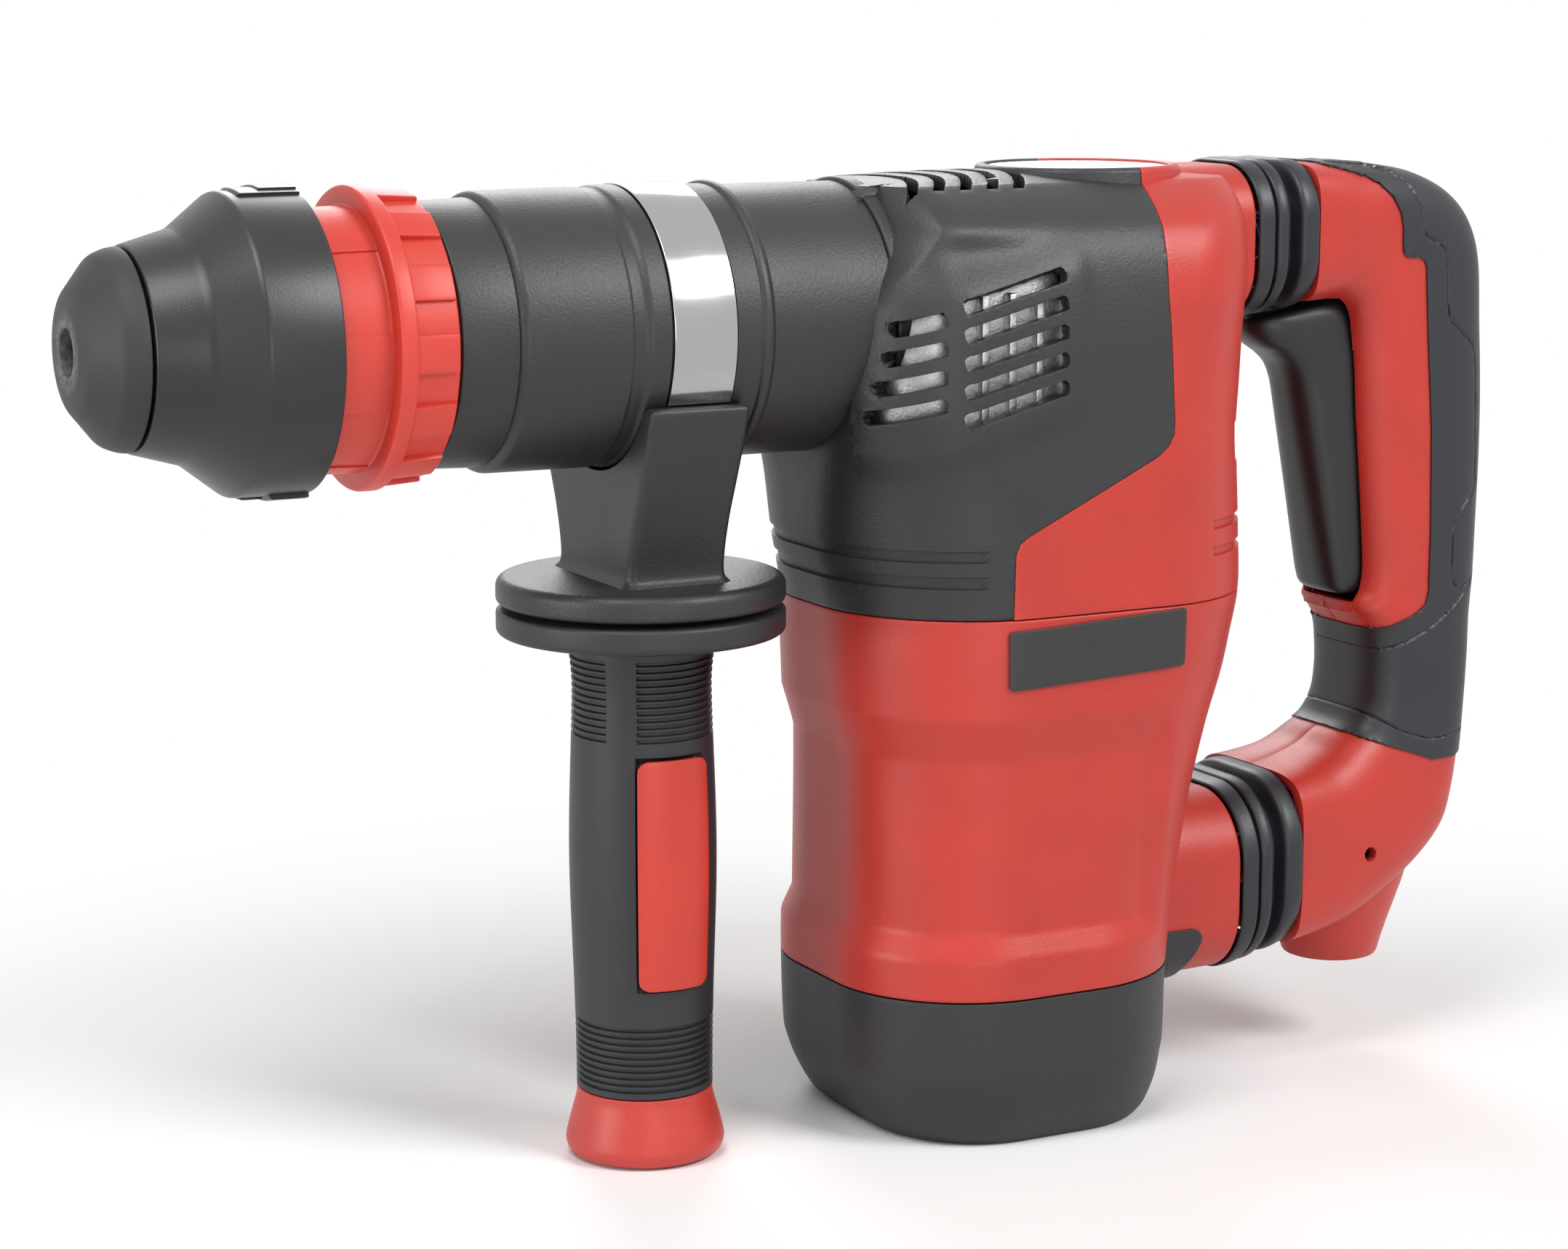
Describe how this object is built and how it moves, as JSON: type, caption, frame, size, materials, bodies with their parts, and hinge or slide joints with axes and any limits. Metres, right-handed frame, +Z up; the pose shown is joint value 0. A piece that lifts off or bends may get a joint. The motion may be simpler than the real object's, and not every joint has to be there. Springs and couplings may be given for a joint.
{
  "type": "rotary hammer",
  "caption": "Corded rotary hammer with an upright motor, a shank socket with a pull-back sleeve, a sprung D-shaped rear handle and a clamped side handle.",
  "frame": {"origin": "centre of the flat foot under the motor", "axes": "+X from the tool socket to the rear handle, +Z up the motor shaft"},
  "size_m": [0.365, 0.0893, 0.2287],
  "materials": {
    "red_plastic": "satin moulded",
    "black_plastic": "fine spark-eroded grain",
    "label_black": "smooth bare plate",
    "soft_black": "soft overmould",
    "machined_steel": "machined",
    "cast_aluminium": "die cast",
    "lid_metal": "turned",
    "laminated_steel": "stacked sheet",
    "copper_wire": "enamelled",
    "brass_fitting": "pressed",
    "carbon": "pressed carbon",
    "screw_steel": "blackened",
    "spring_steel": "drawn wire",
    "cap_rubber": "dull rubber",
    "sleeve_black": "satin",
    "ring_red": "bright satin",
    "polished_strap": "polished",
    "inlay_red": "semi gloss",
    "trigger_black": "semi gloss"
  },
  "bodies": {
    "housing": {"base_cap": "black_plastic", "motor_housing": "red_plastic", "label_plate": "label_black", "upper_housing": "black_plastic", "rear_cover": "red_plastic", "barrel": "black_plastic", "front_neck": "black_plastic", "gear_case": "cast_aluminium", "bearing_plate": "cast_aluminium", "crank_lid": "lid_metal", "lid_ring": "black_plastic", "stator": "laminated_steel", "field_windings": "copper_wire", "brush_holders": "brass_fitting", "carbon_brushes": "carbon", "motor_end_frame": "black_plastic", "bearings": "machined_steel", "lower_arm": "red_plastic", "upper_bellows": "soft_black", "lower_bellows": "soft_black", "base_screws": "screw_steel", "damper_guides": "machined_steel", "damper_springs": "spring_steel"},
    "armature": {"armature_shaft": "machined_steel", "armature_core": "laminated_steel", "commutator": "copper_wire", "cooling_fan": "black_plastic", "motor_pinion": "machined_steel"},
    "intermediate": {"intermediate_shaft": "machined_steel", "intermediate_gear": "machined_steel"},
    "crank": {"crank_shaft": "machined_steel", "crank_gear": "machined_steel"},
    "rod": {"connecting_rod": "cast_aluminium", "piston_pin": "machined_steel"},
    "piston": {"piston": "cast_aluminium"},
    "spindle": {"spindle": "machined_steel", "locking_balls": "machined_steel", "dust_cap": "cap_rubber", "spring_seat": "machined_steel", "sleeve_spring": "spring_steel", "bevel_ring_gear": "machined_steel"},
    "striker": {"striker": "machined_steel"},
    "beat_piece": {"beat_piece": "machined_steel"},
    "locking_sleeve": {"locking_sleeve": "sleeve_black"},
    "adjusting_ring": {"adjusting_ring": "ring_red"},
    "side_clamp": {"handle_strap": "polished_strap", "handle_saddle": "black_plastic", "clamp_bolt": "screw_steel"},
    "side_grip": {"side_grip": "soft_black", "grip_inlay": "inlay_red", "grip_end_cap": "red_plastic"},
    "rear_handle": {"handle_shell_left": "red_plastic", "handle_shell_right": "red_plastic", "grip_cover": "soft_black", "cable_spout": "red_plastic", "handle_screws": "screw_steel", "trigger_pin": "machined_steel", "switch": "black_plastic", "trigger_spring": "spring_steel"},
    "trigger": {"trigger": "trigger_black"}
  },
  "joints": [
    {"name": "armature_spin", "type": "hinge", "parent": "housing", "child": "armature", "pos_m": [0, 0, 0.08], "axis": [0, 0, 1], "continuous": true},
    {"name": "crank_spin", "type": "hinge", "parent": "housing", "child": "crank", "pos_m": [0.024, 0, 0.144], "axis": [0, 0, 1], "continuous": true},
    {"name": "rod_swing", "type": "hinge", "parent": "crank", "child": "rod", "pos_m": [0.0175, 0, 0.194], "axis": [0, 0, 1], "continuous": true},
    {"name": "intermediate_spin", "type": "hinge", "parent": "housing", "child": "intermediate", "pos_m": [-0.0192, 0, 0.144], "axis": [0, 0, 1], "continuous": true},
    {"name": "spindle_turn", "type": "hinge", "parent": "housing", "child": "spindle", "pos_m": [-0.1, 0, 0.194], "axis": [1, 0, 0], "continuous": true},
    {"name": "piston_slide", "type": "slide", "parent": "housing", "child": "piston", "axis": [1, 0, 0], "range_m": [0, 0.013]},
    {"name": "striker_slide", "type": "slide", "parent": "spindle", "child": "striker", "axis": [1, 0, 0], "range_m": [0, 0.016]},
    {"name": "beat_slide", "type": "slide", "parent": "spindle", "child": "beat_piece", "axis": [1, 0, 0], "range_m": [0, 0.004]},
    {"name": "sleeve_slide", "type": "slide", "parent": "spindle", "child": "locking_sleeve", "axis": [1, 0, 0], "range_m": [0, 0.008], "stiffness_N_per_m": 900, "springref_m": -0.004, "deforming": ["sleeve_spring"]},
    {"name": "ring_turn", "type": "hinge", "parent": "housing", "child": "adjusting_ring", "pos_m": [-0.16, 0, 0.194], "axis": [1, 0, 0], "range_deg": [-30, 30]},
    {"name": "side_handle_turn", "type": "hinge", "parent": "housing", "child": "side_clamp", "pos_m": [-0.0876, 0, 0.194], "axis": [1, 0, 0], "continuous": true},
    {"name": "grip_unscrew", "type": "hinge", "parent": "side_clamp", "child": "side_grip", "pos_m": [-0.089, 0, 0.06], "axis": [0, 0, 1], "continuous": true},
    {"name": "handle_damping", "type": "slide", "parent": "housing", "child": "rear_handle", "axis": [1, 0, 0], "range_m": [-0.004, 0], "stiffness_N_per_m": 12000, "springref_m": 0.002, "deforming": ["upper_bellows", "lower_bellows", "damper_springs"]},
    {"name": "trigger_pull", "type": "hinge", "parent": "rear_handle", "child": "trigger", "pos_m": [0.097, 0, 0.197], "axis": [0, -1, 0], "range_deg": [0, 6], "stiffness_Nm_per_rad": 3, "springref_deg": -2.86, "deforming": ["trigger_spring"]}
  ],
  "couplings": [
    {"joint": "crank_spin", "follows": "armature_spin", "ratio": -0.25},
    {"joint": "rod_swing", "follows": "armature_spin", "ratio": 0.25},
    {"joint": "intermediate_spin", "follows": "armature_spin", "ratio": -0.33333},
    {"joint": "spindle_turn", "follows": "armature_spin", "ratio": 0.083333}
  ]
}
